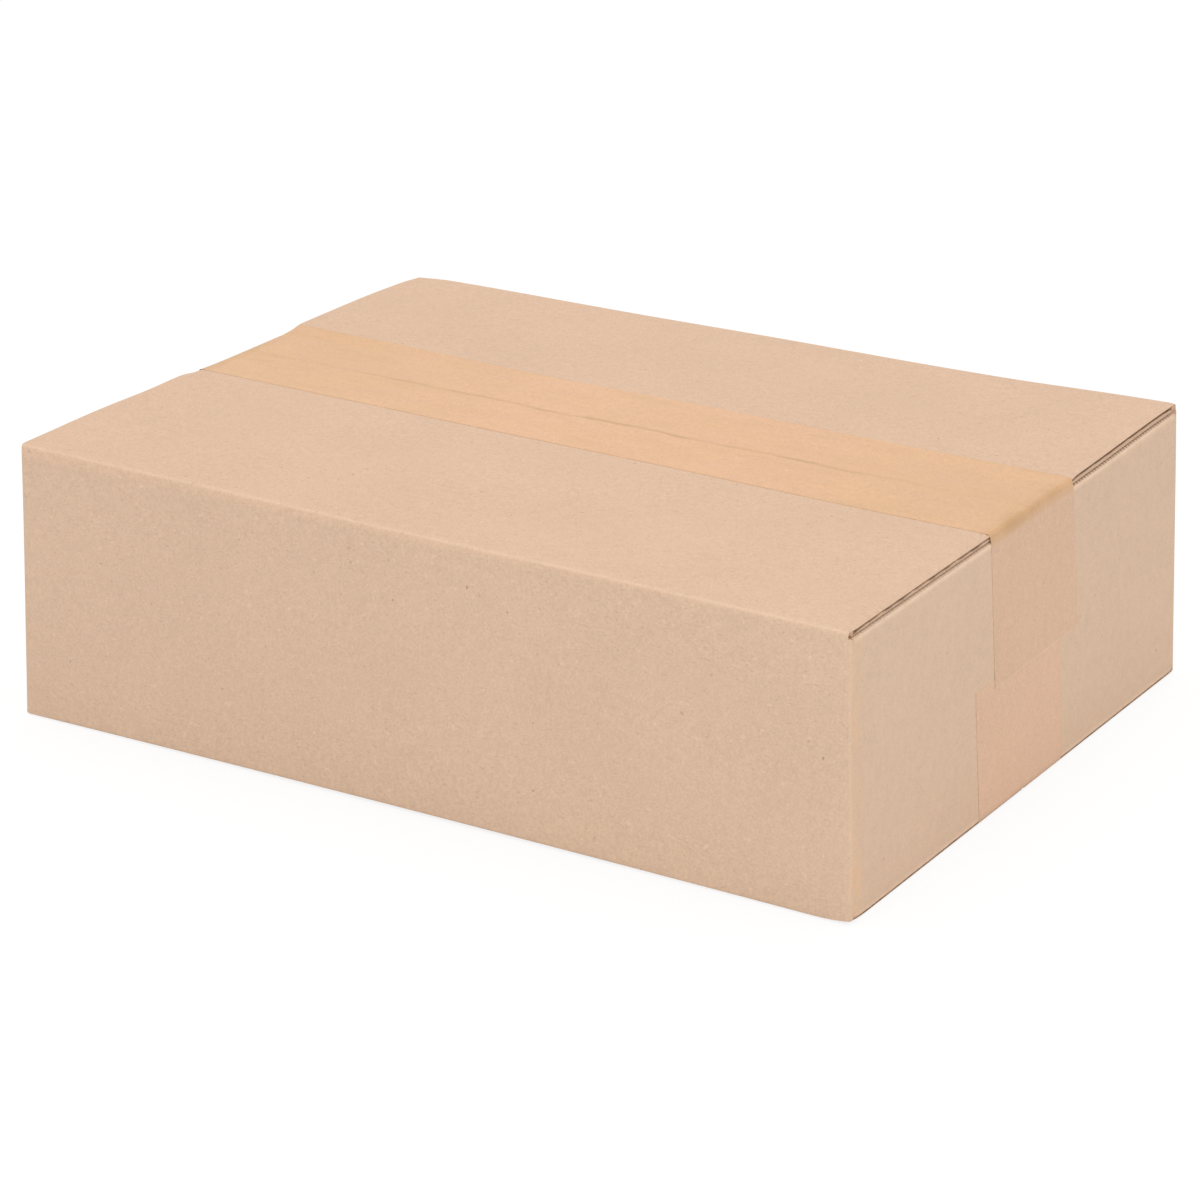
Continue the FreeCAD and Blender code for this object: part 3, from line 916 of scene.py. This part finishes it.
class CARTON_OT_tapes(bpy.types.Operator):
    """Build the tapes over the top seam and under the bottom seam"""
    bl_idname = "carton.tapes"
    bl_label = "Tapes"

    def execute(self, context):
        form = context.scene.carton_form
        tape = context.scene.carton_tape
        finish = context.scene.carton_finish
        slope = (form.seam_near - form.seam_far) / form.length
        middle = (form.seam_near + form.seam_far) / 2
        seam = (slope, middle, form.height * 0.95)
        # Each strip's legs get their own painted-light tint
        strips = (
            ("top_tape_film", "top_tape", TOP_LEGS, True, False, finish.film_leg_painted_light, seam),
            ("bottom_tape_film", "bottom_tape", BOTTOM_LEGS, False, True, finish.film_low_painted_light, None))
        for name, node, legs, lapped, upside, shade, line in strips:
            vertices, faces, sheet, values = build_tape(form, tape, *legs, lapped, upside)
            vertices[:, 2] += form.base
            index = np.zeros(len(faces), dtype=np.int32)
            material = tape_material(finish, name + "_finish", shade, line)
            strip = make_object(name, vertices, faces, index, [material], sheet, values)
            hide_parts(node)
            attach(strip, "root")
        return {"FINISHED"}


def seen_directly(nodes):
    """One for rays from the camera and from gloss or glass, nought for all other light."""
    path = nodes.add("ShaderNodeLightPath")
    seen = nodes.math("MAXIMUM", path.outputs["Is Camera Ray"], path.outputs["Is Glossy Ray"])
    return nodes.math("MAXIMUM", seen, path.outputs["Is Transmission Ray"])


def floor_material():
    """Pale floor that the camera sees as white, with the object's own soft shadow kept."""
    nodes = Nodes(bpy.data.materials.new("pale_floor"))
    paper = nodes.add("ShaderNodeBsdfDiffuse", {"Color": (0.90, 0.90, 0.90, 1.0)})
    shade = nodes.add("ShaderNodeBsdfDiffuse", {"Color": (0.20, 0.20, 0.20, 1.0)})
    glow = nodes.add("ShaderNodeEmission", {"Color": (1.0, 1.0, 1.0, 1.0), "Strength": 0.82})
    white = nodes.add("ShaderNodeAddShader", {0: shade.outputs[0], 1: glow.outputs[0]})
    return nodes.surface(nodes.add("ShaderNodeMixShader", {
        0: seen_directly(nodes), 1: paper.outputs[0], 2: white.outputs[0]}))


def add_floor():
    """Wide flat floor: a square grid at height zero."""
    side = np.linspace(-4.0, 4.0, 9)
    x, y = np.meshgrid(side, side)
    vertices = np.column_stack([x.ravel(), y.ravel(), np.zeros(x.size)])
    grid = np.arange(x.size).reshape(x.shape)
    mesh = bpy.data.meshes.new("floor")
    mesh.from_pydata(vertices, [], cells(grid.T).tolist())
    mesh.materials.append(floor_material())
    floor = new_object("floor", mesh)


def add_lamp(name, place, target, size, power):
    """Soft square lamp aimed at a target."""
    data = bpy.data.lights.new(name, "AREA")
    data.shape = "SQUARE"
    data.size = size
    data.energy = power
    aimed(name, data, place, target)


def light_world():
    """Even white surroundings at a plain level, white behind the object."""
    world = bpy.data.worlds.new("studio")
    bpy.context.scene.world = world
    nodes = Nodes(world)
    white = (1.0, 1.0, 1.0, 1.0)
    lit = nodes.add("ShaderNodeBackground", {"Color": white, "Strength": 0.81})
    shown = nodes.add("ShaderNodeBackground", {"Color": white, "Strength": 1.0})
    mix = nodes.add("ShaderNodeMixShader", {
        0: seen_directly(nodes), 1: lit.outputs[0], 2: shown.outputs[0]})
    nodes.add("ShaderNodeOutputWorld", {"Surface": mix.outputs[0]})


def add_camera():
    """Long lens from the near front corner, solved from the photograph's corners."""
    data = bpy.data.cameras.new("camera")
    data.sensor_width = 36.0
    data.lens = 116.42
    data.clip_end = 20.0
    bpy.context.scene.camera = aimed("camera", data, (0.51409, -0.84033, 0.40415),
                                     (0.00047, -0.00404, 0.02837))


class CARTON_OT_stage(bpy.types.Operator):
    """Add the floor, lamps, surroundings and camera"""
    bl_idname = "carton.stage"
    bl_label = "Stage"

    def execute(self, context):
        add_floor()
        light_world()
        add_lamp("overhead_softbox", (-0.10, 0.10, 1.5), (0.0, 0.0, 0.0), 1.4, 6.1)
        add_lamp("front_softbox", (0.44, -1.00, 0.42), (0.0, 0.0, 0.03), 0.8, 2.05)
        add_camera()
        context.scene.view_settings.view_transform = "Standard"
        return {"FINISHED"}


class CARTON_PT_sidebar(bpy.types.Panel):
    """Lists the carton's pieces, sizes and colours"""
    bl_idname = "CARTON_PT_sidebar"
    bl_label = "Taped carton"
    bl_space_type = "VIEW_3D"
    bl_region_type = "UI"
    bl_category = "Carton"

    def draw(self, context):
        layout = self.layout
        for operator in OPERATORS:
            layout.operator(operator.bl_idname)
        for name, group in GROUPS.items():
            box = layout.box()
            for key in group.__annotations__:
                box.prop(getattr(context.scene, name), key)


GROUPS = {"carton_form": CartonForm, "carton_tape": CartonTape, "carton_finish": CartonFinish}
OPERATORS = (CARTON_OT_blank, CARTON_OT_tapes, CARTON_OT_stage)
CLASSES = (*GROUPS.values(), *OPERATORS, CARTON_PT_sidebar)


def register():
    for item in CLASSES:
        bpy.utils.register_class(item)
    for name, group in GROUPS.items():
        setattr(bpy.types.Scene, name, PointerProperty(type=group))


def unregister():
    for name in GROUPS:
        delattr(bpy.types.Scene, name)
    for item in reversed(CLASSES):
        bpy.utils.unregister_class(item)


def main():
    """Register the add-on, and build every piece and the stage."""
    register()
    bpy.ops.carton.blank()
    bpy.ops.carton.tapes()
    bpy.ops.carton.stage()


if __name__ == "__main__":
    main()
